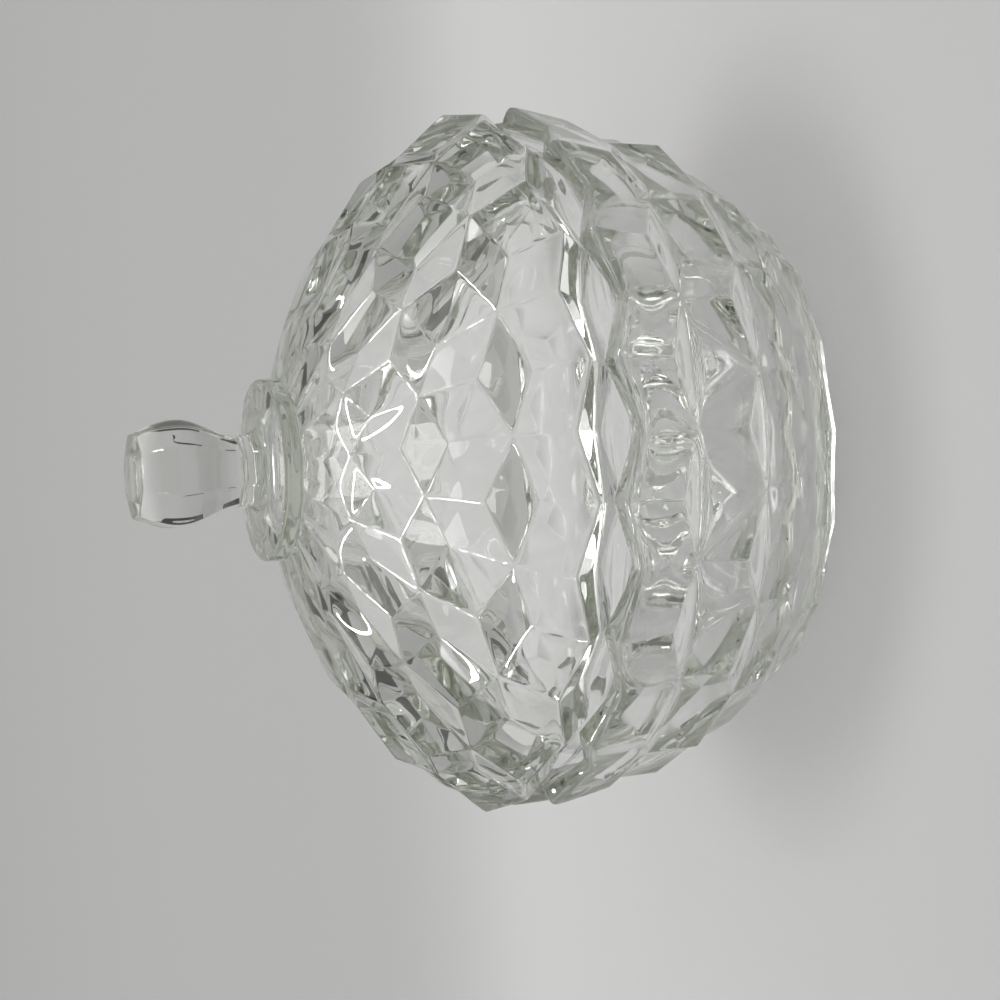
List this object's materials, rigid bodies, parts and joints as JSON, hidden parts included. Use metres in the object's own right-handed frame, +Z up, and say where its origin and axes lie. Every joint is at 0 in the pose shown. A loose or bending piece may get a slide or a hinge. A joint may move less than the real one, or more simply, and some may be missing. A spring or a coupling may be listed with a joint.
{
  "type": "covered candy dish",
  "caption": "Round pressed-glass candy dish: a cube-faceted bowl on a low foot and a lift-off domed lid with a collar, a knob and a flange that drops into the bowl's mouth.",
  "frame": {"origin": "centre of the foot's underside, on the table", "axes": "+Z up along the turning axis of bowl and lid; -Y towards the viewer; the pattern repeats about Z"},
  "size_m": [0.159, 0.159, 0.1464],
  "materials": {
    "bowl_glass": "clear pressed glass, fire polished",
    "lid_glass": "clear pressed glass, fire polished"
  },
  "bodies": {
    "bowl": {"bowl": "bowl_glass"},
    "lid": {"lid": "lid_glass"}
  },
  "joints": [
    {"name": "lid_lift", "type": "slide", "parent": "bowl", "child": "lid", "axis": [0, 0, 1], "range_m": [0, 0.12]}
  ]
}
